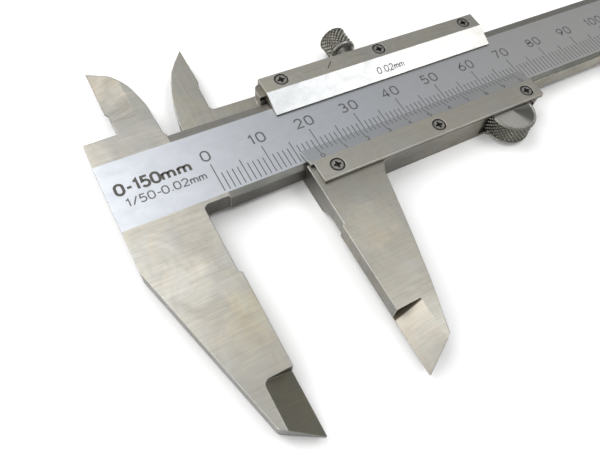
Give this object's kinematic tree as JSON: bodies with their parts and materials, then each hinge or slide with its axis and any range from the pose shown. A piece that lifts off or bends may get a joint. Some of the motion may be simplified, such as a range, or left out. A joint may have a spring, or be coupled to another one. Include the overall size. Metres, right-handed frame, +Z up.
{
  "type": "vernier caliper",
  "caption": "Steel vernier caliper with outside and inside jaws, sliding vernier with cover plates, thumb roller, top lock screw and depth rod.",
  "frame": {"origin": "under the middle of the whole tool, on the plane the slider back rests on when the tool lies on a table", "axes": "+X along the beam from the jaws to the depth rod end, +Y towards the inside jaws, +Z up out of the scale face"},
  "size_m": [0.249, 0.0802, 0.0069],
  "materials": {
    "ground_steel": "fine ground stainless steel, grinding lines along the beam",
    "satin_chrome": "pearl satin chrome, non-glare",
    "screw_steel": "turned and lightly darkened steel",
    "knurled_steel": "turned steel with a diamond knurl",
    "bright_steel": "drawn bright steel",
    "spring_bronze": "rolled spring bronze",
    "engraving_fill": "black enamel in the engraved lines and numbers"
  },
  "bodies": {
    "beam": {"main_beam": "ground_steel", "end_stop": "ground_steel", "stop_screw_1": "screw_steel", "stop_screw_2": "screw_steel"},
    "slider": {"slider_frame": "ground_steel", "upper_cover_plate": "satin_chrome", "vernier_plate": "satin_chrome", "cover_screw_1": "screw_steel", "cover_screw_2": "screw_steel", "cover_screw_3": "screw_steel", "vernier_screw_1": "screw_steel", "vernier_screw_2": "screw_steel", "vernier_screw_3": "screw_steel", "gib_spring": "spring_bronze", "depth_rod": "bright_steel", "depth_rod_rivet_1": "screw_steel", "depth_rod_rivet_2": "screw_steel", "wheel_pin": "bright_steel"},
    "roller": {"thumb_wheel": "knurled_steel"},
    "lock": {"lock_screw": "knurled_steel"}
  },
  "joints": [
    {"name": "slider_slide", "type": "slide", "parent": "beam", "child": "slider", "axis": [1, 0, 0], "range_m": [-0.01878, 0.1312]},
    {"name": "roller_spin", "type": "hinge", "parent": "slider", "child": "roller", "pos_m": [-0.045, -0.00299, 0.003], "axis": [0, 0, 1], "range_deg": [-215, 1460]},
    {"name": "lock_turn", "type": "hinge", "parent": "slider", "child": "lock", "pos_m": [-0.0689, 0.02734, 0.0034], "axis": [0, 1, 0], "range_deg": [-20, 720]}
  ],
  "couplings": [
    {"joint": "roller_spin", "follows": "slider_slide", "rad_per_m": 192.31}
  ]
}
